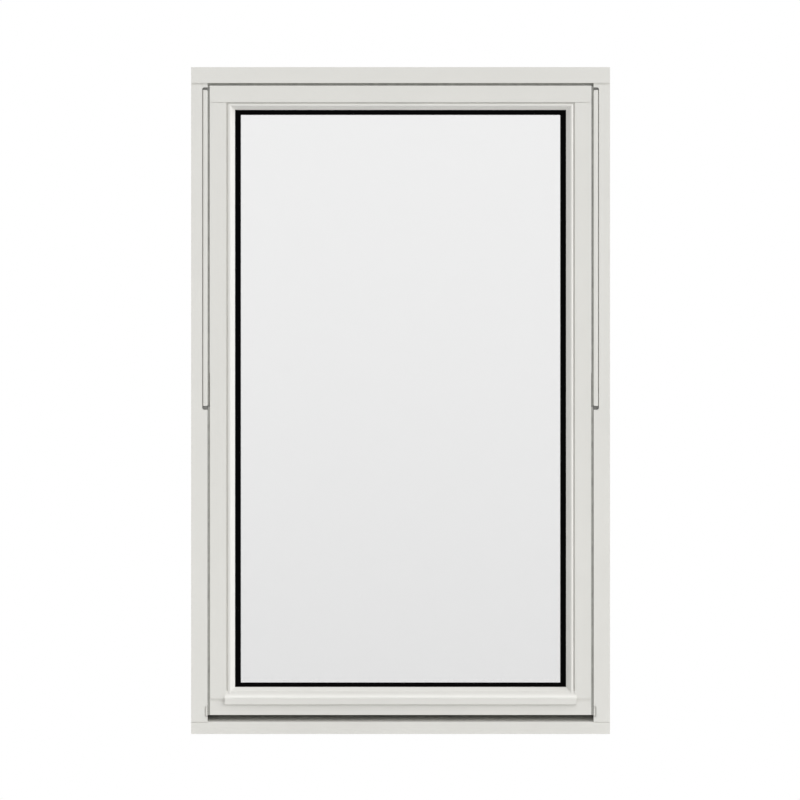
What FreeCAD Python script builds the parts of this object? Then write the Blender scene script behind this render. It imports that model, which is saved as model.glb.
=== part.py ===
import FreeCAD, Part
import math
import os

# Centre pivot window in painted timber, in millimetres.
# X runs across the window, Z up, and the outside faces -Y.
# The origin is the middle of the sill's flat underside.

# Outer frame
FRAME_WIDTH = 1000.0
FRAME_HEIGHT = 1592.0
FRAME_DEPTH = 115.0
JAMB_FACE = 39.3
HEAD_FACE = 38.0
SILL_NOSE = 28.8          # height of the sill's front face
SILL_RISE = 17.0          # rise of the weathered top up to the upstand
SILL_STOP = 24.0          # height of the upstand behind the sash
FRAME_ARRIS = 0.6         # rounding of the frame's long edges
HEAD_JOINT = 4.6          # height of the shadow groove across a jamb's end under the head
SILL_JOINT = 2.6          # height of the bevel on the sill's edge under a jamb
FRAME_JOINT_DEPTH = 2.4   # depth of that groove and that bevel

# Groove in the inside face for the wall lining
LINING_INSET = 12.0
LINING_WIDTH = 13.0
LINING_DEPTH = 9.0

# Screw holes through the jambs
SCREW_RADIUS = 4.0
SCREW_FROM_BACK = 16.0
SCREW_FROM_END = 160.0
SCREW_FROM_PIVOT = 215.0

# Sash and the gaps round it
SIDE_GAP = 5.6
TOP_GAP = 6.8
SILL_GAP = 16.6           # above the front edge of the sill
SASH_SETBACK = 2.0        # sash face behind the frame face
SASH_DEPTH = 68.0
UNDERSIDE_RISE = 8.0      # bevel of the sash's underside, from front to back
SASH_FACE = 39.0          # face of rail and stile outside the beads
SASH_ARRIS = 0.7
BEAD_SEAT = 15.0          # depth of the step that the beads sit on
GLASS_REBATE = 45.0       # side of the glass rebate, from the sash edge
UPSTAND_SIGHT = 65.0      # inner edge of the sash, from the sash edge
UPSTAND_ROUND = 7.0
SASH_JOINT = 1.5          # fine groove where a stile meets a rail
SASH_JOINT_DEPTH = 1.5
SHOULDER_WIDTH = 7.0      # shallow step in the bottom rail's face below each stile
SHOULDER_DEPTH = 2.2

# Glazing beads at the top and sides
QUIRK_WIDTH = 2.2
QUIRK_DEPTH = 5.0
BEAD_WIDTH = 21.0
TOP_BEAD_WIDTH = 18.4
BEAD_NOSE = 7.4           # width of the rounded nose
BEAD_NOSE_ROUND = 5.2
BEAD_SET = 0.8            # nose behind the sash face
BEAD_EDGE = 2.6           # thickness of the bead at its inner edge

# Drip bead on the bottom rail
DRIP_TOP = 67.0           # inner edge, from the sash's bottom edge
DRIP_SLOPE = 10.4         # height of the slope
DRIP_COVE = 16.8          # height of the cove
DRIP_NOSE = 15.2          # height of the nose
DRIP_PROUD = 6.0          # nose in front of the sash face
DRIP_LAP = 3.9            # how far the nose laps each stile
DRIP_ROUND = 2.4
THROAT_WIDTH = 2.0        # groove under the nose that sheds the drops
THROAT_DEPTH = 2.5
THROAT_INSET = 3.0

# Glass unit and its gaskets
PANE = 4.0
CAVITY = 12.0
SPACER_HEIGHT = 20.0
GLASS_SIGHT_SIDE = 74.1   # inner edge of the spacers, from the sash edge
GLASS_SIGHT_TOP = 69.6
GLASS_SIGHT_BOTTOM = 77.8
GASKET = 3.0              # thickness of each gasket
OUTER_LIP_STEP = 0.8      # spacer that shows inside the outer gasket
INNER_LIP = 2.5           # inner gasket that shows past the sash

# Weather strips in the upper half of the jambs
POCKET_WIDTH = 12.8
POCKET_DEPTH = 12.0
POCKET_ROUND = 5.0
POCKET_BELOW_HEAD = 10.6
POCKET_BELOW_PIVOT = 22.2
STRIP_GAP = 0.9           # shadow line beside the strip
STRIP_END_TOP = 6.1
STRIP_END_BOTTOM = 9.2
STRIP_SINK = 0.3          # strip behind the frame face
STRIP_OUTER_ROUND = 5.0
STRIP_INNER_ROUND = 1.5
STRIP_END_ROUND = 3.0     # corner beside the sash at either end
PLUG_SINK = 4.5           # end plug behind the frame face
PLUG_PLAY = 0.3

# Run-up blocks at the foot of the jambs
BLOCK_WIDTH = 6.6
BLOCK_HEIGHT = 24.6
BLOCK_ABOVE_SILL = 12.4
BLOCK_DEPTH = 5.0
BLOCK_SINK = 0.8
BLOCK_GAP = 1.8
BLOCK_ROUND = 2.5

# Seals in the gap and stops in the lower half
SEAL_PLAY = 0.4
SEAL_DEPTH = 7.0
UPPER_SEAL_SET = 5.0      # seals behind the sash face
LOWER_SEAL_SET = 2.5
HEAD_SEAL_SET = 9.0
SEAL_ROUND = 1.2
SEAL_PIVOT_GAP = 1.5      # between the upper and the lower seals
STOP_GAP = 2.5            # between the sash and the stops
STOP_WIDTH = 18.0
STOP_DEPTH = 20.0
STOP_ROUND = 4.0
STOP_BELOW_PIVOT = 8.0
STOP_SEAL_WIDTH = 7.0
SILL_SEAL_HEIGHT = 22.0

# Pivots at mid-height
PLATE_THICK = 1.8
PLATE_WIDTH = 28.0
PLATE_HEIGHT = 132.0
PLATE_ROUND = 7.0
PIVOT_RADIUS = 13.0

# Handle on the inside of the bottom rail
HANDLE_HEIGHT = 44.0      # centre above the sash's bottom edge
ROSE_WIDTH = 68.0
ROSE_HEIGHT = 27.0
ROSE_THICK = 9.0
ROSE_ROUND = 11.0
NECK_FOOT = 10.5          # radius at the rose, which a taper brings down to the neck
NECK_TAPER = 9.0          # length of that taper
NECK_RADIUS = 8.0
NECK_LENGTH = 28.0
LEVER_LENGTH = 122.0
LEVER_HEIGHT = 20.0
LEVER_TIP_HEIGHT = 15.0
LEVER_THICK = 11.0
LEVER_OVERHANG = 12.0     # lever past the neck's centre
LEVER_ROUND = 8.0         # corners at the neck
LEVER_TIP_ROUND = 6.0
HANDLE_ROUND = 2.5        # outer edges of rose and lever

# Shares: the most of a wall that a rounding may take, and how far a mitre cut runs on
ROUND_SHARE = 0.9
PAST_MITRE = 1.1

# How far a cut runs past the face that it opens, and what counts as the same place
CUT_PAST = 1.0
SAME_PLACE = 1e-4

# Places that follow from the sizes above
half_width = FRAME_WIDTH / 2
front = -FRAME_DEPTH / 2
back = FRAME_DEPTH / 2
reveal = half_width - JAMB_FACE
reveal_top = FRAME_HEIGHT - HEAD_FACE
sash_half = reveal - SIDE_GAP
sash_top = reveal_top - TOP_GAP
sash_bottom = SILL_NOSE + SILL_GAP
sash_front = front + SASH_SETBACK
sash_back = sash_front + SASH_DEPTH
stop_front = sash_back + STOP_GAP
pivot_z = (sash_bottom + sash_top) / 2
pivot_y = (sash_front + sash_back) / 2
glass_front = sash_front + BEAD_SEAT + GASKET
pane_pitch = PANE + CAVITY
glass_back = glass_front + 2 * pane_pitch + PANE
upstand_front = glass_back + GASKET
bead_edge = BEAD_SEAT - BEAD_EDGE
bead_pitch = (bead_edge - BEAD_SET) / (BEAD_WIDTH - QUIRK_WIDTH - BEAD_NOSE)
weathering_top = SILL_NOSE + SILL_RISE
weathering_pitch = SILL_RISE / (stop_front - front)
sill_top = weathering_top + SILL_STOP
pocket_outer = reveal + POCKET_WIDTH
pocket_top = reveal_top - POCKET_BELOW_HEAD
pocket_bottom = pivot_z - POCKET_BELOW_PIVOT
strip_top = pocket_top - STRIP_END_TOP
strip_bottom = pocket_bottom + STRIP_END_BOTTOM


def vec(x, y, z):
    return FreeCAD.Vector(x, y, z)


def block(x0, x1, y0, y1, z0, z1):
    return Part.makeBox(x1 - x0, y1 - y0, z1 - z0, vec(x0, y0, z0))


def across(x):
    """Section plane for what runs along X: corners are (y, z)."""
    return lambda a, b: vec(x, a, b)


def upright(z):
    """Section plane for what runs along Z: corners are (x, y)."""
    return lambda a, b: vec(a, b, z)


def facing(y):
    """Plan of what is seen from the front: corners are (x, z)."""
    return lambda a, b: vec(a, y, b)


def outline(plane, corners):
    """Closed wire; a corner (a, b, r) is rounded with radius r."""
    ends = []
    for i, corner in enumerate(corners):
        here = plane(*corner[:2])
        if len(corner) == 2:
            ends.append((here, None, here))
            continue
        radius = corner[2]
        to_last = (plane(*corners[i - 1][:2]) - here).normalize()
        to_next = (plane(*corners[(i + 1) % len(corners)][:2]) - here).normalize()
        half_angle = to_last.getAngle(to_next) / 2
        run = radius / math.tan(half_angle)
        middle = (to_last + to_next).normalize()
        crown = here + middle * (radius / math.sin(half_angle) - radius)
        ends.append((here + to_last * run, crown, here + to_next * run))
    edges = []
    for i, (start, crown, end) in enumerate(ends):
        if crown is not None:
            edges.append(Part.Arc(start, crown, end).toShape())
        following = ends[(i + 1) % len(ends)][0]
        if end.distanceToPoint(following) > SAME_PLACE:
            edges.append(Part.makeLine(end, following))
    return Part.Wire(edges)


def solid(plane, corners, run):
    return Part.Face(outline(plane, corners)).extrude(run)


def rounded(shape, radius, chosen):
    """Round the straight edges whose two end points both pass the test."""
    edges = [edge for edge in shape.Edges
             if all(chosen(vertex.Point) for vertex in edge.Vertexes)]
    return shape.makeFillet(radius, edges)


def near(value, target):
    return abs(value - target) < SAME_PLACE


def mirrored(shape):
    return shape.mirror(vec(0, 0, 0), vec(1, 0, 0))


def inset_box(side, top, bottom, y0, y1):
    """Box over the sash's area, set in by the given amounts."""
    return block(-sash_half + side, sash_half - side, y0, y1, sash_bottom + bottom, sash_top - top)


def inset_ring(outer, inner, y0, y1):
    """Rectangular ring between two (side, top, bottom) insets."""
    return inset_box(*outer, y0, y1).cut(inset_box(*inner, y0 - CUT_PAST, y1 + CUT_PAST))


def sill_joint():
    """Bevel on the sill's front edge under the left jamb."""
    corners = [(front, SILL_NOSE - SILL_JOINT), (front, SILL_NOSE),
               (front + FRAME_JOINT_DEPTH, SILL_NOSE + weathering_pitch * FRAME_JOINT_DEPTH)]
    return solid(across(-half_width), corners, vec(JAMB_FACE, 0, 0))


def head_joint():
    """Shadow groove across the left jamb under the head."""
    return block(-half_width, -reveal, front, front + FRAME_JOINT_DEPTH,
                 reveal_top - HEAD_JOINT, reveal_top)


def make_sill_blank():
    corners = [(front, 0), (front, SILL_NOSE, FRAME_ARRIS), (stop_front, weathering_top),
               (stop_front, sill_top, FRAME_ARRIS), (back, sill_top, FRAME_ARRIS), (back, 0)]
    return solid(across(-half_width), corners, vec(FRAME_WIDTH, 0, 0))


def make_sill(blank):
    return blank.cut([lining_groove(), sill_joint(), mirrored(sill_joint())])


def lining_groove():
    def frame_box(inset):
        return block(-half_width + inset, half_width - inset, back - LINING_DEPTH, back + CUT_PAST,
                     inset, FRAME_HEIGHT - inset)

    return frame_box(LINING_INSET).cut(frame_box(LINING_INSET + LINING_WIDTH))


def make_head():
    head = block(-half_width, half_width, front, back, reveal_top, FRAME_HEIGHT)
    head = rounded(head, FRAME_ARRIS, lambda p: near(p.z, reveal_top)
                   and (near(p.y, front) or near(p.y, back)))
    return head.cut(lining_groove())


def strip_pocket():
    corners = [(-reveal + CUT_PAST, pocket_bottom), (-reveal + CUT_PAST, pocket_top),
               (-pocket_outer, pocket_top, POCKET_ROUND),
               (-pocket_outer, pocket_bottom, POCKET_ROUND)]
    return solid(facing(front), corners, vec(0, POCKET_DEPTH, 0))


def run_up_block(inner, gap, sink):
    """Block at the jamb's foot, or with no gap and no sink the pocket for it."""
    bottom = SILL_NOSE + BLOCK_ABOVE_SILL + gap
    top = bottom + BLOCK_HEIGHT - 2 * gap
    outer = -reveal - BLOCK_WIDTH + gap
    corners = [(inner, bottom), (inner, top), (outer, top, BLOCK_ROUND),
               (outer, bottom, BLOCK_ROUND)]
    return solid(facing(front + sink), corners, vec(0, BLOCK_DEPTH - sink, 0))


def screw_heights():
    return [SCREW_FROM_END, pivot_z - SCREW_FROM_PIVOT, pivot_z + SCREW_FROM_PIVOT,
            FRAME_HEIGHT - SCREW_FROM_END]


def make_left_jamb(sill_blank):
    jamb = block(-half_width, -reveal, front, back, 0, reveal_top)
    jamb = rounded(jamb, FRAME_ARRIS, lambda p: near(p.x, -reveal)
                   and (near(p.y, front) or near(p.y, back)))
    cutters = [sill_blank, lining_groove(), strip_pocket(), run_up_block(-reveal + CUT_PAST, 0, 0),
               sill_joint(), head_joint()]
    for z in screw_heights():
        start = vec(-half_width, back - SCREW_FROM_BACK, z)
        cutters.append(Part.makeCylinder(SCREW_RADIUS, JAMB_FACE, start, vec(1, 0, 0)))
    return jamb.cut(cutters)


def make_left_strip():
    outer = -pocket_outer + STRIP_GAP
    face = front + STRIP_SINK
    floor = front + POCKET_DEPTH
    section = [(outer, floor), (outer, face, STRIP_OUTER_ROUND),
               (-reveal, face, STRIP_INNER_ROUND), (-reveal, floor)]
    plan = [(outer, strip_bottom), (-reveal, strip_bottom, STRIP_END_ROUND),
            (-reveal, strip_top, STRIP_END_ROUND), (outer, strip_top)]
    stick = solid(upright(strip_bottom), section, vec(0, 0, strip_top - strip_bottom))
    return stick.common(solid(facing(front), plan, vec(0, POCKET_DEPTH, 0)))


def make_left_plugs():
    """Dark plugs that close the pocket above and below the strip."""
    corners = [(-reveal - PLUG_PLAY, pocket_bottom + PLUG_PLAY),
               (-reveal - PLUG_PLAY, pocket_top - PLUG_PLAY),
               (-pocket_outer + PLUG_PLAY, pocket_top - PLUG_PLAY, POCKET_ROUND),
               (-pocket_outer + PLUG_PLAY, pocket_bottom + PLUG_PLAY, POCKET_ROUND)]
    filler = solid(facing(front + PLUG_SINK), corners, vec(0, POCKET_DEPTH - PLUG_SINK, 0))
    middle = block(-pocket_outer, -reveal, front, front + POCKET_DEPTH, strip_bottom, strip_top)
    return filler.cut(middle)


def make_left_stop():
    corners = [(-reveal, stop_front), (-reveal + STOP_WIDTH, stop_front),
               (-reveal + STOP_WIDTH, stop_front + STOP_DEPTH, STOP_ROUND),
               (-reveal, stop_front + STOP_DEPTH)]
    length = pivot_z - STOP_BELOW_PIVOT - sill_top
    return solid(upright(sill_top), corners, vec(0, 0, length))


def seal_section(fixed, free, setback):
    """Seal across a gap from the fixed side to just short of the free side."""
    y0 = sash_front + setback
    return [(fixed, y0), (free, y0, SEAL_ROUND), (free, y0 + SEAL_DEPTH, SEAL_ROUND),
            (fixed, y0 + SEAL_DEPTH)]


def make_left_upper_seal():
    corners = seal_section(-reveal, -sash_half - SEAL_PLAY, UPPER_SEAL_SET)
    length = sash_top + SEAL_PLAY - strip_bottom
    return solid(upright(strip_bottom), corners, vec(0, 0, length))


def make_left_lower_seal():
    corners = seal_section(-sash_half, -reveal + SEAL_PLAY, LOWER_SEAL_SET)
    length = strip_bottom - SEAL_PIVOT_GAP - sash_bottom
    return solid(upright(sash_bottom), corners, vec(0, 0, length))


def make_head_seal():
    corners = [(y, z, *radius) for z, y, *radius
               in seal_section(reveal_top, sash_top + SEAL_PLAY, HEAD_SEAL_SET)]
    return solid(across(-reveal), corners, vec(2 * reveal, 0, 0))


def make_left_stop_seal():
    x = -reveal + STOP_WIDTH
    return block(x - STOP_SEAL_WIDTH, x, sash_back, stop_front,
                 sill_top, pivot_z - STOP_BELOW_PIVOT)


def make_sill_seal():
    """Seal down the front of the upstand, which the sash closes against."""
    return block(-reveal, reveal, sash_back, stop_front, sill_top - SILL_SEAL_HEIGHT, sill_top)


def make_left_pivot():
    """Plate on the jamb, plate on the sash and the friction disc between them."""
    def plate(x):
        low, high = pivot_z - PLATE_HEIGHT / 2, pivot_z + PLATE_HEIGHT / 2
        near_y, far_y = pivot_y - PLATE_WIDTH / 2, pivot_y + PLATE_WIDTH / 2
        corners = [(near_y, low, PLATE_ROUND), (far_y, low, PLATE_ROUND),
                   (far_y, high, PLATE_ROUND), (near_y, high, PLATE_ROUND)]
        return solid(across(x), corners, vec(PLATE_THICK, 0, 0))

    disc_start = -reveal + PLATE_THICK
    disc = Part.makeCylinder(PIVOT_RADIUS, SIDE_GAP - 2 * PLATE_THICK,
                             vec(disc_start, pivot_y, pivot_z), vec(1, 0, 0))
    return plate(-reveal), plate(-sash_half - PLATE_THICK), disc


def make_sash_block():
    """Rails and stiles in one, with a bevelled underside, before they are parted."""
    underside = [(sash_front, sash_bottom), (sash_back, sash_bottom),
                 (sash_back, sash_bottom + UNDERSIDE_RISE)]
    bevel = solid(across(-sash_half), underside, vec(2 * sash_half, 0, 0))
    sash = inset_box(0, 0, 0, sash_front, sash_back).cut(bevel)
    sash = rounded(sash, SASH_ARRIS, lambda p: near(p.y, sash_front))
    sash = rounded(sash, SASH_ARRIS, lambda p: near(p.y, sash_back))
    seat = sash_front + BEAD_SEAT

    def opening(inset, y0, y1):
        return inset_box(inset, inset, inset, y0, y1)

    sash = sash.cut([opening(SASH_FACE, sash_front - CUT_PAST, seat),
                     opening(GLASS_REBATE, seat - CUT_PAST, upstand_front),
                     opening(UPSTAND_SIGHT, upstand_front - CUT_PAST, sash_back + CUT_PAST)])
    round_off = min(UPSTAND_ROUND, ROUND_SHARE * (sash_back - upstand_front))
    sash = rounded(sash, round_off, lambda p: near(p.y, sash_back)
                   and near(abs(p.x), sash_half - UPSTAND_SIGHT))
    low_joint = sash_bottom + SASH_FACE
    high_joint = sash_top - SASH_FACE
    inner = -sash_half + SASH_FACE
    left_grooves = [
        block(-sash_half, inner, sash_front, sash_front + SASH_JOINT_DEPTH,
              high_joint - SASH_JOINT, high_joint),
        block(-sash_half, inner, sash_front, sash_front + SHOULDER_DEPTH,
              low_joint - SHOULDER_WIDTH, low_joint),
        block(-sash_half, inner, sash_back - SASH_JOINT_DEPTH, sash_back,
              high_joint - SASH_JOINT, high_joint),
        block(-sash_half, inner, sash_back - SASH_JOINT_DEPTH, sash_back,
              low_joint, low_joint + SASH_JOINT),
    ]
    return sash.cut(left_grooves + [mirrored(groove) for groove in left_grooves])


def corner(x_side, z_side, inset):
    """Point on a corner's mitre line, as (x, z)."""
    z = sash_top - inset if z_side > 0 else sash_bottom + inset
    return x_side * (sash_half - inset), z


def part_region(points):
    depth = SASH_DEPTH + DRIP_PROUD + 2 * CUT_PAST
    return solid(facing(sash_front - DRIP_PROUD - CUT_PAST), points, vec(0, depth, 0))


def rail_region(z_side):
    """Area of a rail: full width at the face, mitred inside it."""
    inner = UPSTAND_SIGHT + CUT_PAST
    shoulder = corner(1, z_side, SASH_FACE)[1]
    return part_region([corner(-1, z_side, 0), corner(1, z_side, 0), (sash_half, shoulder),
                        corner(1, z_side, SASH_FACE), corner(1, z_side, inner),
                        corner(-1, z_side, inner), corner(-1, z_side, SASH_FACE),
                        (-sash_half, shoulder)])


def left_stile_region():
    """Area of the left stile: between the rails at the face, mitred inside it."""
    inner = UPSTAND_SIGHT + CUT_PAST
    low, high = corner(-1, -1, SASH_FACE), corner(-1, 1, SASH_FACE)
    return part_region([low, corner(-1, -1, inner), corner(-1, 1, inner), high,
                        (-sash_half, high[1]), (-sash_half, low[1])])


def bead_section(width):
    """Bead as (inset from the sash edge, depth behind the sash face), drawn out to a width."""
    stretch = width / BEAD_WIDTH
    nose_out = SASH_FACE + QUIRK_WIDTH * stretch
    nose_in = nose_out + BEAD_NOSE * stretch
    inner = SASH_FACE + width
    return [(SASH_FACE, BEAD_SEAT), (SASH_FACE, QUIRK_DEPTH), (nose_out, QUIRK_DEPTH),
            (nose_out, BEAD_SET, BEAD_NOSE_ROUND), (nose_in, BEAD_SET),
            (inner, bead_edge), (inner, BEAD_SEAT)]


def bead_mitre(x_side, share):
    """Point on the mitre of the top bead and a side bead, a share of their widths in."""
    return (x_side * (sash_half - SASH_FACE - share * BEAD_WIDTH),
            sash_top - SASH_FACE - share * TOP_BEAD_WIDTH)


def make_top_bead():
    corners = [(sash_front + depth, sash_top - inset, *radius)
               for inset, depth, *radius in bead_section(TOP_BEAD_WIDTH)]
    stick = solid(across(-sash_half), corners, vec(2 * sash_half, 0, 0))
    return stick.common(part_region([bead_mitre(-1, 0), bead_mitre(1, 0),
                                     bead_mitre(1, PAST_MITRE), bead_mitre(-1, PAST_MITRE)]))


def make_left_bead(drip):
    corners = [(-sash_half + inset, sash_front + depth, *radius)
               for inset, depth, *radius in bead_section(BEAD_WIDTH)]
    stick = solid(upright(sash_bottom), corners, vec(0, 0, sash_top - sash_bottom))
    low = sash_bottom + SASH_FACE
    outer, inner = bead_mitre(-1, 0), bead_mitre(-1, PAST_MITRE)
    bead = stick.common(part_region([(outer[0], low), (inner[0], low), inner, outer]))
    return bead.cut(drip)


def make_drip_bead():
    slope_end = DRIP_TOP - DRIP_SLOPE
    nose_top = slope_end - DRIP_COVE
    nose_bottom = nose_top - DRIP_NOSE
    cove_start = bead_edge - DRIP_SLOPE * bead_pitch
    cove_depth = cove_start + DRIP_PROUD
    cove_radius = (DRIP_COVE ** 2 + cove_depth ** 2) / (2 * cove_depth)
    half_turn = math.asin(DRIP_COVE / cove_radius) / 2

    def at(height, depth):
        return vec(-sash_half, sash_front + depth, sash_bottom + height)

    throat = -DRIP_PROUD + THROAT_INSET
    path = [at(nose_top, -DRIP_PROUD), at(nose_bottom, -DRIP_PROUD), at(nose_bottom, throat),
            at(nose_bottom + THROAT_DEPTH, throat),
            at(nose_bottom + THROAT_DEPTH, throat + THROAT_WIDTH),
            at(nose_bottom, throat + THROAT_WIDTH), at(nose_bottom, 0), at(SASH_FACE, 0),
            at(SASH_FACE, BEAD_SEAT), at(DRIP_TOP, BEAD_SEAT), at(DRIP_TOP, bead_edge),
            at(slope_end, cove_start)]
    crown = at(slope_end - cove_radius * math.sin(half_turn),
               cove_start - cove_radius * (1 - math.cos(half_turn)))
    cove = Part.Arc(path[-1], crown, path[0]).toShape()
    sides = [Part.makeLine(path[i], path[i + 1]) for i in range(len(path) - 1)]
    stick = Part.Face(Part.Wire(sides + [cove])).extrude(vec(2 * sash_half, 0, 0))
    stick = rounded(stick, DRIP_ROUND, lambda p: near(p.y, sash_front - DRIP_PROUD)
                    and near(p.z, sash_bottom + nose_bottom))
    ahead = sash_front - DRIP_PROUD - CUT_PAST
    body = inset_box(SASH_FACE, SASH_FACE, 0, ahead, sash_back)
    lap = SASH_FACE - DRIP_LAP
    nose = inset_box(lap, lap, 0, ahead, sash_front)
    return stick.common(body.fuse(nose)).removeSplitter()


def make_glass():
    """Three panes, two spacers and the gaskets on either side."""
    sight = (GLASS_SIGHT_SIDE, GLASS_SIGHT_TOP, GLASS_SIGHT_BOTTOM)
    edge = tuple(inset - SPACER_HEIGHT for inset in sight)
    outer_lip = tuple(inset - OUTER_LIP_STEP for inset in sight)
    inner_lip = (UPSTAND_SIGHT + INNER_LIP,) * 3
    pane_fronts = [glass_front + i * pane_pitch for i in range(3)]
    panes = [inset_box(*edge, y, y + PANE) for y in pane_fronts]
    spacers = [inset_ring(edge, sight, y + PANE, y + pane_pitch) for y in pane_fronts[:2]]
    outer_gasket = inset_ring(edge, outer_lip, glass_front - GASKET, glass_front)
    inner_gasket = inset_ring(edge, inner_lip, glass_back, upstand_front)
    return panes, spacers, outer_gasket, inner_gasket


def make_rose(z):
    half_wide, half_high = ROSE_WIDTH / 2, ROSE_HEIGHT / 2
    corners = [(x * half_wide, z + side * half_high, ROSE_ROUND)
               for x, side in ((-1, -1), (1, -1), (1, 1), (-1, 1))]
    rose = solid(facing(sash_back), corners, vec(0, ROSE_THICK, 0))
    return rounded(rose, HANDLE_ROUND, lambda p: near(p.y, sash_back + ROSE_THICK))


def make_neck(z, start):
    """Turned neck that tapers from the rose."""
    out = vec(0, 1, 0)
    foot = Part.makeCone(NECK_FOOT, NECK_RADIUS, NECK_TAPER, vec(0, start, z), out)
    stem = Part.makeCylinder(NECK_RADIUS, NECK_LENGTH - NECK_TAPER, vec(0, start + NECK_TAPER, z), out)
    return foot.fuse(stem).removeSplitter()


def make_lever(z, start):
    """Lever that tapers from the neck to its tip."""
    root, tip = LEVER_HEIGHT / 2, LEVER_TIP_HEIGHT / 2
    end = LEVER_LENGTH - LEVER_OVERHANG
    corners = [(-LEVER_OVERHANG, z - root, LEVER_ROUND), (end, z - tip, LEVER_TIP_ROUND),
               (end, z + tip, LEVER_TIP_ROUND), (-LEVER_OVERHANG, z + root, LEVER_ROUND)]
    lever = solid(facing(start), corners, vec(0, LEVER_THICK, 0))
    return rounded(lever, HANDLE_ROUND, lambda p: near(p.y, start + LEVER_THICK))


def build():
    sill_blank = make_sill_blank()
    left_jamb = make_left_jamb(sill_blank)
    left_strip = make_left_strip()
    left_plugs = make_left_plugs()
    left_block = run_up_block(-reveal, BLOCK_GAP, BLOCK_SINK)
    left_stop = make_left_stop()
    left_upper_seal = make_left_upper_seal()
    left_lower_seal = make_left_lower_seal()
    left_stop_seal = make_left_stop_seal()
    left_plates = make_left_pivot()
    sash = make_sash_block()
    left_stile = sash.common(left_stile_region())
    drip = make_drip_bead()
    left_bead = make_left_bead(drip)
    panes, spacers, outer_gasket, inner_gasket = make_glass()
    handle_z = sash_bottom + HANDLE_HEIGHT
    neck_start = sash_back + ROSE_THICK

    nodes = {
        "frame_head": make_head(),
        "frame_sill": make_sill(sill_blank),
        "seal_head": make_head_seal(),
        "seal_sill": make_sill_seal(),
        "sash_top_rail": sash.common(rail_region(1)),
        "sash_bottom_rail": sash.common(rail_region(-1)),
        "bead_top": make_top_bead(),
        "bead_drip": drip,
        "pane_outer": panes[0],
        "pane_middle": panes[1],
        "pane_inner": panes[2],
        "spacer_outer": spacers[0],
        "spacer_inner": spacers[1],
        "gasket_outer": outer_gasket,
        "gasket_inner": inner_gasket,
        "handle_rose": make_rose(handle_z),
        "handle_neck": make_neck(handle_z, neck_start),
        "handle_lever": make_lever(handle_z, neck_start + NECK_LENGTH),
    }
    pairs = {
        "frame_jamb": left_jamb,
        "weather_strip": left_strip,
        "strip_plugs": left_plugs,
        "run_up_block": left_block,
        "inner_stop": left_stop,
        "seal_upper": left_upper_seal,
        "seal_lower": left_lower_seal,
        "seal_stop": left_stop_seal,
        "pivot_frame_plate": left_plates[0],
        "pivot_sash_plate": left_plates[1],
        "pivot_disc": left_plates[2],
        "sash_stile": left_stile,
        "bead": left_bead,
    }
    for name, shape in pairs.items():
        nodes[name + "_left"] = shape
        nodes[name + "_right"] = mirrored(shape)
    return nodes


os.makedirs("parts", exist_ok=True)
for node, shape in build().items():
    shape.exportStep("parts/" + node + ".step")
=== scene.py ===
import math
from typing import NamedTuple

import bpy
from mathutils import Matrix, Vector


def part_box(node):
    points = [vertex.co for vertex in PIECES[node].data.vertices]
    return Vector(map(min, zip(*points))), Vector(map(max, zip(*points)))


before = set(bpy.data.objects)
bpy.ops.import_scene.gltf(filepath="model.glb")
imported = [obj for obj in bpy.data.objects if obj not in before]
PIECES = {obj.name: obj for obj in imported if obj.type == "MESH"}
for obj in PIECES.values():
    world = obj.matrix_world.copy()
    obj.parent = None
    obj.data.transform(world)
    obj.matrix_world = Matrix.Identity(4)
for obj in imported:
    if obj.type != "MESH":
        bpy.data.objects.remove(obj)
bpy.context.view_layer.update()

# Picture: a level, square-on view with no perspective, 800 pixels on each side
PICTURE_PIXELS = 800
METRES_PER_PIXEL = 0.002387
OFFSET_PIXELS = 0.56             # the window sits this far right of and below the middle
CAMERA_DISTANCE = 4.0
FLOOR_HALF = 6.0

# Soft light from all round and one broad lamp
DOME_LEVEL = 0.735
DOME_LEAN = (0.18, 0.0, 0.20)    # the dome is brighter to the right and above
BACKGROUND_LEVEL = 1.0           # plain white
KEY_STRENGTH = 1.27
KEY_ANGLE = math.radians(55)
KEY_FROM = (0.75, -0.38, 0.54)   # direction towards the light

# Card that the glass mirrors, bright above and dimmer below
CARD_Y = -6.0
CARD_HALF_WIDTH = 1.5
CARD_BOTTOM = -0.6
CARD_TOP = 2.4
CARD_LOW_LEVEL = 0.33
CARD_HIGH_LEVEL = 0.91
CARD_CURVE = 1.4                 # above 1, the card dims faster towards its foot

# Soft boxes that draw the highlights along the beads and light nothing else
SIDE_BOX_PLACE = (2.0, -0.85, 0.8)
SIDE_BOX_SIZE = (1.6, 3.0)
SIDE_BOX_LEVEL = 3.7
TOP_BOX_PLACE = (0.0, -1.45, 3.25)
TOP_BOX_SIZE = (5.0, 1.1)
TOP_BOX_LEVEL = 4.2
WATTS_PER_LEVEL = 4.0            # lamp power per square metre that makes its face as bright as white

# Colours, linear
WHITE = (1.0, 1.0, 1.0)
PAINT = (0.730, 0.723, 0.687)
NYLON = (0.70, 0.69, 0.65)
SEAL_GREY = (0.40, 0.40, 0.375)
# the strip plugs' dark grey is painted shade: it darkens the ends of the strip pockets
PLUG_SHADE_GREY = (0.22, 0.22, 0.21)
BLACK_RUBBER = (0.0012, 0.0012, 0.0012)
SPACER_BLACK = (0.004, 0.004, 0.004)
GLASS_TINT = (0.957, 0.957, 0.957)
ZINC = (0.56, 0.56, 0.55)
ANODISED = (0.72, 0.72, 0.71)
FLOOR_WHITE = (0.88, 0.88, 0.88)
TONE_ENDS = (0.3, 0.7)           # part of a pattern over which a tone changes from dark to light


class Pattern(NamedTuple):
    """Noise over a piece; the scale is per metre."""
    scale: float
    detail: float = 3.0
    stretch: tuple = (1, 1, 1)   # factor on the scale along X, Y and Z, small along a grain


class Relief(NamedTuple):
    """Pattern that stands out from a surface by a height in metres."""
    pattern: Pattern
    height: float
    strength: float


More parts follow.
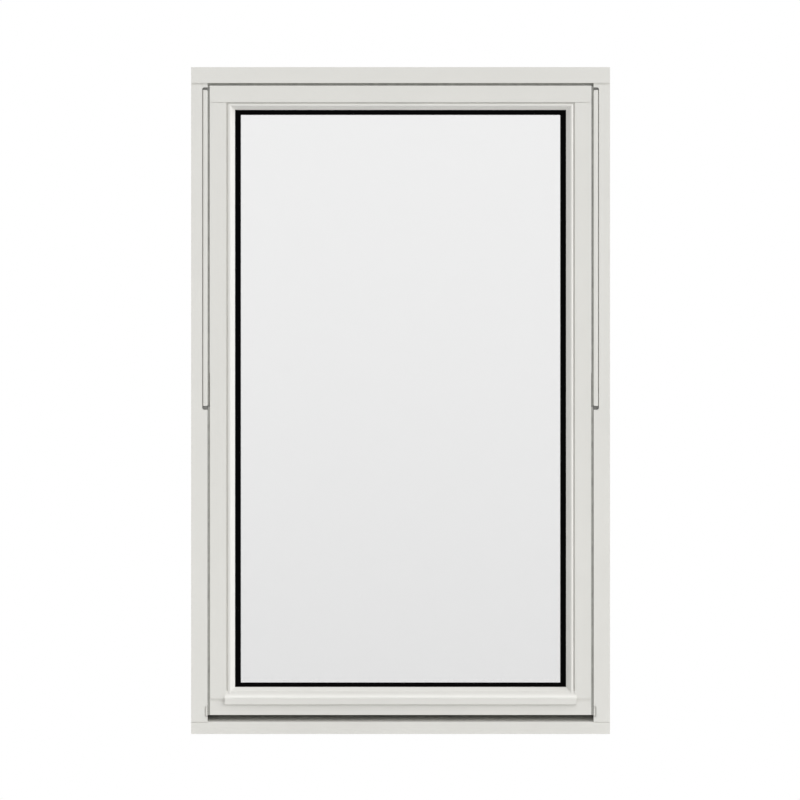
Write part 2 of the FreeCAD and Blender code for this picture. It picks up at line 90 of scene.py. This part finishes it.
class Finish(NamedTuple):
    """Look of a surface apart from its colour."""
    cloud: Pattern
    cloud_amount: float          # share by which the cloud darkens and lightens the colour
    skin: Relief
    roughness: tuple             # in the hollows and on the heights of the skin
    fibre: Relief = None         # coarser relief under the skin
    specular: float = 0.5
    metallic: float = 0.0


# Finishes
FIBRE_ALONG_X = Relief(Pattern(scale=380, detail=6, stretch=(0.025, 1, 1)), height=0.0002, strength=0.8)
FIBRE_ALONG_Z = Relief(Pattern(scale=380, detail=6, stretch=(1, 1, 0.025)), height=0.0002, strength=0.8)
LEVEL_PAINT = Finish(
    cloud=Pattern(scale=6, detail=2), cloud_amount=0.012,
    skin=Relief(Pattern(scale=650, detail=2), height=0.00006, strength=0.6),
    roughness=(0.29, 0.40), fibre=FIBRE_ALONG_X)
UPRIGHT_PAINT = LEVEL_PAINT._replace(fibre=FIBRE_ALONG_Z)
POWDER_COAT = Finish(
    cloud=Pattern(scale=9), cloud_amount=0.01,
    skin=Relief(Pattern(scale=1500, detail=2), height=0.00003, strength=0.6),
    roughness=(0.30, 0.42))
RUBBER = Finish(
    cloud=Pattern(scale=60), cloud_amount=0.12,
    skin=Relief(Pattern(scale=1800), height=0.00005, strength=0.6),
    roughness=(0.52, 0.72), specular=0.3)
DULL_RUBBER = RUBBER._replace(specular=0.02)
PLASTIC = Finish(
    cloud=Pattern(scale=40), cloud_amount=0.03,
    skin=Relief(Pattern(scale=2200, detail=2), height=0.00004, strength=0.5),
    roughness=(0.50, 0.50))
PLATED = Finish(
    cloud=Pattern(scale=50), cloud_amount=0.05,
    skin=Relief(Pattern(scale=2500), height=0.00002, strength=0.5),
    roughness=(0.30, 0.50), metallic=1.0)
BRUSHED = PLATED._replace(
    skin=Relief(Pattern(scale=2500, stretch=(0.02, 1, 1)), height=0.00002, strength=0.5),
    roughness=(0.25, 0.38))
GLASS_IOR = 1.5
GLASS_WAVE = Relief(Pattern(scale=3, detail=1), height=0.00002, strength=0.2)
FLOOR_ROUGHNESS = 0.9
FLOOR_CLOUD = Pattern(scale=4)
FLOOR_CLOUD_AMOUNT = 0.004


class Shading:
    """Shader nodes of one material or world."""

    def __init__(self, owner, output_kind):
        owner.use_nodes = True
        self.owner = owner
        self.tree = owner.node_tree
        self.tree.nodes.clear()
        self.output = self.add(output_kind)

    def add(self, kind, inputs=None, **settings):
        """New node; each input is a plain value or the output that feeds it."""
        node = self.tree.nodes.new(kind)
        for key, value in settings.items():
            setattr(node, key, value)
        for key, value in (inputs or {}).items():
            if isinstance(value, bpy.types.NodeSocket):
                self.tree.links.new(value, node.inputs[key])
            else:
                node.inputs[key].default_value = value
        return node

    def show(self, shader):
        """Use a shader's output as the surface."""
        self.tree.links.new(shader, self.output.inputs["Surface"])

    def principled(self, inputs):
        """Show a principled shader with these inputs."""
        self.show(self.add("ShaderNodeBsdfPrincipled", inputs).outputs["BSDF"])

    def calculate(self, operation, first, second):
        """Result of an operation on two numbers."""
        return self.add("ShaderNodeMath", {0: first, 1: second}, operation=operation).outputs["Value"]

    def mix(self, share, first, second):
        """Blend of two shaders, with the share of the second."""
        return self.add("ShaderNodeMixShader", {0: share, 1: first, 2: second}).outputs["Shader"]

    def noise(self, pattern):
        """Noise over the object's own coordinates, from 0 to 1."""
        place = self.add("ShaderNodeTexCoord").outputs["Object"]
        stretched = self.add("ShaderNodeMapping", {"Vector": place, "Scale": pattern.stretch})
        texture = self.add("ShaderNodeTexNoise", {"Vector": stretched.outputs["Vector"],
                                                  "Scale": pattern.scale, "Detail": pattern.detail})
        return texture.outputs["Fac"]

    def spread(self, value, low, high):
        """Map a 0 to 1 pattern to a range of numbers."""
        ramp = self.add("ShaderNodeMapRange", {"Value": value, "To Min": low, "To Max": high})
        return ramp.outputs["Result"]

    def tone(self, value, colour, amount):
        """Vary a colour a little, darker to lighter, by a pattern."""
        ramp = self.add("ShaderNodeValToRGB", {"Fac": value})
        factors = (1 - amount, 1 + amount)
        for end, position, factor in zip(ramp.color_ramp.elements, TONE_ENDS, factors):
            end.position = position
            end.color = opaque(channel * factor for channel in colour)
        return ramp.outputs["Color"]

    def bump(self, value, relief, under=None):
        """Normal of a relief, which may lie on another relief's normal."""
        inputs = {"Height": value, "Distance": relief.height, "Strength": relief.strength}
        if under is not None:
            inputs["Normal"] = under
        return self.add("ShaderNodeBump", inputs).outputs["Normal"]


def opaque(colour):
    """Colour with the fourth channel that a socket takes."""
    return (*colour, 1)


def new_material(name):
    """Empty material, to be filled with shader nodes."""
    return Shading(bpy.data.materials.new(name), "ShaderNodeOutputMaterial")


def finished(name, colour, finish):
    """Material with a colour and a finish, whose tone, roughness and relief vary a little."""
    shading = new_material(name)
    skin = shading.noise(finish.skin.pattern)
    hollow, height = finish.roughness
    roughness = hollow if hollow == height else shading.spread(skin, hollow, height)
    under = None
    if finish.fibre is not None:
        under = shading.bump(shading.noise(finish.fibre.pattern), finish.fibre)
    cloud = shading.noise(finish.cloud)
    shading.principled({
        "Base Color": shading.tone(cloud, colour, finish.cloud_amount),
        "Roughness": roughness,
        "Metallic": finish.metallic,
        "Specular IOR Level": finish.specular,
        "Normal": shading.bump(skin, finish.skin, under),
    })
    return shading.owner


def clear_glass(name):
    """Float glass with a hardly visible waviness."""
    shading = new_material(name)
    shading.principled({
        "Base Color": opaque(GLASS_TINT),
        "Roughness": 0.0,
        "Transmission Weight": 1.0,
        "IOR": GLASS_IOR,
        "Normal": shading.bump(shading.noise(GLASS_WAVE.pattern), GLASS_WAVE),
    })
    return shading.owner


def plain_floor(name):
    """Matt pale floor."""
    shading = new_material(name)
    shading.principled({
        "Base Color": shading.tone(shading.noise(FLOOR_CLOUD), FLOOR_WHITE, FLOOR_CLOUD_AMOUNT),
        "Roughness": FLOOR_ROUGHNESS,
        "Specular IOR Level": 0.0,
    })
    return shading.owner


def mirrored_sky(name):
    """Glow that falls from the top of the glass to its foot, and is clear unless it is mirrored."""
    shading = new_material(name)
    place = shading.add("ShaderNodeTexCoord").outputs["Object"]
    height = shading.add("ShaderNodeSeparateXYZ", {"Vector": place}).outputs["Z"]
    low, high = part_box("pane_outer")
    fall = shading.add("ShaderNodeMapRange", {"Value": height, "From Min": high.z, "From Max": low.z})
    curve = shading.calculate("POWER", fall.outputs["Result"], CARD_CURVE)
    level = shading.spread(curve, CARD_HIGH_LEVEL, CARD_LOW_LEVEL)
    glow = shading.add("ShaderNodeEmission", {"Strength": level}).outputs["Emission"]
    clear = shading.add("ShaderNodeBsdfTransparent").outputs["BSDF"]
    mirrored = shading.add("ShaderNodeLightPath").outputs["Glossy Depth"]
    shading.show(shading.mix(mirrored, clear, glow))
    return shading.owner


def dress(material, *names):
    """Give pieces one material in place of their own."""
    for name in names:
        slots = PIECES[name].data.materials
        slots.clear()
        slots.append(material)


def both(*names):
    """Names of the left and the right piece of each kind."""
    return [name + side for name in names for side in ("_left", "_right")]


def dress_pieces():
    """Give every piece of the window its material."""
    dress(finished("paint_upright", PAINT, UPRIGHT_PAINT),
          *both("frame_jamb", "sash_stile", "bead", "inner_stop"))
    dress(finished("paint_level", PAINT, LEVEL_PAINT),
          "frame_head", "frame_sill", "sash_top_rail", "sash_bottom_rail", "bead_top", "bead_drip")
    dress(finished("strip_coat", PAINT, POWDER_COAT), *both("weather_strip"))
    dress(finished("block_nylon", NYLON, PLASTIC), *both("run_up_block"))
    dress(finished("seal_rubber", SEAL_GREY, RUBBER),
          "seal_head", *both("seal_upper", "seal_lower", "seal_stop"))
    # Dark grey plugs at the strip pocket ends are painted shade: a dark fill where the pocket ends lie in
    # shade
    dress(finished("plug_rubber", PLUG_SHADE_GREY, RUBBER), *both("strip_plugs"))
    # The sill seal in black rubber is a real seal and also painted shade: it darkens the back of the gap
    # under the sash
    dress(finished("gasket_rubber", BLACK_RUBBER, DULL_RUBBER), "gasket_outer", "gasket_inner", "seal_sill")
    dress(finished("spacer_plastic", SPACER_BLACK, PLASTIC), "spacer_outer", "spacer_inner")
    dress(clear_glass("float_glass"), "pane_outer", "pane_middle", "pane_inner")
    dress(finished("pivot_zinc", ZINC, PLATED),
          *both("pivot_frame_plate", "pivot_sash_plate", "pivot_disc"))
    dress(finished("handle_anodised", ANODISED, BRUSHED), "handle_rose", "handle_neck", "handle_lever")


def add_object(name, data):
    """New object in the scene that holds a mesh, a lamp or a camera."""
    added = bpy.data.objects.new(name, data)
    bpy.context.scene.collection.objects.link(added)
    return added


def add_sheet(name, corners, material):
    """Flat face with four corners."""
    mesh = bpy.data.meshes.new(name)
    mesh.from_pydata(corners, [], [(0, 1, 2, 3)])
    mesh.materials.append(material)
    return add_object(name, mesh)


def make_floor():
    """Pale floor at the foot of the window."""
    corners = [(-FLOOR_HALF, -FLOOR_HALF, 0), (FLOOR_HALF, -FLOOR_HALF, 0),
               (FLOOR_HALF, FLOOR_HALF, 0), (-FLOOR_HALF, FLOOR_HALF, 0)]
    floor = add_sheet("floor", corners, plain_floor("floor_white"))


def make_sky_card():
    """Card in front of the window that is seen only in reflections."""
    corners = [(-CARD_HALF_WIDTH, CARD_Y, CARD_BOTTOM), (CARD_HALF_WIDTH, CARD_Y, CARD_BOTTOM),
               (CARD_HALF_WIDTH, CARD_Y, CARD_TOP), (-CARD_HALF_WIDTH, CARD_Y, CARD_TOP)]
    card = add_sheet("sky_card", corners, mirrored_sky("sky_card"))
    card.visible_camera = False
    card.visible_diffuse = False
    card.visible_shadow = False


def make_world():
    """Soft dome of light, and plain white for what is seen directly, mirrored or through glass."""
    world = bpy.data.worlds.new("studio")
    bpy.context.scene.world = world
    shading = Shading(world, "ShaderNodeOutputWorld")
    towards = shading.add("ShaderNodeTexCoord").outputs["Generated"]
    lean = shading.add("ShaderNodeVectorMath", {0: towards, 1: DOME_LEAN}, operation="DOT_PRODUCT")
    level = shading.calculate("ADD", lean.outputs["Value"], DOME_LEVEL)
    dome = shading.add("ShaderNodeBackground", {"Color": opaque(WHITE), "Strength": level})
    plain = shading.add("ShaderNodeBackground", {"Color": opaque(WHITE), "Strength": BACKGROUND_LEVEL})
    rays = shading.add("ShaderNodeLightPath").outputs
    seen = rays["Is Camera Ray"]
    for kind in ("Is Glossy Ray", "Is Transmission Ray"):
        seen = shading.calculate("MAXIMUM", seen, rays[kind])
    shading.show(shading.mix(seen, dome.outputs["Background"], plain.outputs["Background"]))


def shine_from(lamp, direction):
    """Turn a lamp so that its light comes from a direction."""
    lamp.rotation_euler = Vector(direction).to_track_quat("Z", "Y").to_euler()


def make_key_light():
    """Broad sun lamp, for soft shadows."""
    light = bpy.data.lights.new("key", "SUN")
    light.energy = KEY_STRENGTH
    light.angle = KEY_ANGLE
    lamp = add_object("key", light)
    lamp.location = KEY_FROM
    shine_from(lamp, KEY_FROM)


def make_soft_box(name, place, size, level, *beads):
    """One-sided lamp of a given brightness, aimed at the first bead and mirrored only in these beads."""
    light = bpy.data.lights.new(name, "AREA")
    light.shape = "RECTANGLE"
    light.size, light.size_y = size
    light.energy = WATTS_PER_LEVEL * level * light.size * light.size_y
    lamp = add_object(name, light)
    low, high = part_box(beads[0])
    lamp.location = place
    shine_from(lamp, Vector(place) - (low + high) / 2)
    lamp.visible_camera = False
    lamp.visible_diffuse = False
    lamp.visible_transmission = False
    receivers = bpy.data.collections.new(name + "_beads")
    for bead in beads:
        receivers.objects.link(PIECES[bead])
    lamp.light_linking.receiver_collection = receivers


def make_camera():
    """Level camera, square to the outside face."""
    lens = bpy.data.cameras.new("camera")
    lens.type = "ORTHO"
    lens.ortho_scale = PICTURE_PIXELS * METRES_PER_PIXEL
    camera = add_object("camera", lens)
    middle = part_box("frame_head")[1].z / 2
    offset = OFFSET_PIXELS * METRES_PER_PIXEL
    camera.location = (-offset, -CAMERA_DISTANCE, middle + offset)
    camera.rotation_euler = (math.pi / 2, 0, 0)
    bpy.context.scene.camera = camera


bpy.context.scene.view_settings.view_transform = "Standard"
dress_pieces()
make_floor()
make_sky_card()
make_world()
make_key_light()
make_soft_box("side_box", SIDE_BOX_PLACE, SIDE_BOX_SIZE, SIDE_BOX_LEVEL, *both("bead"))
make_soft_box("top_box", TOP_BOX_PLACE, TOP_BOX_SIZE, TOP_BOX_LEVEL, "bead_drip")
make_camera()
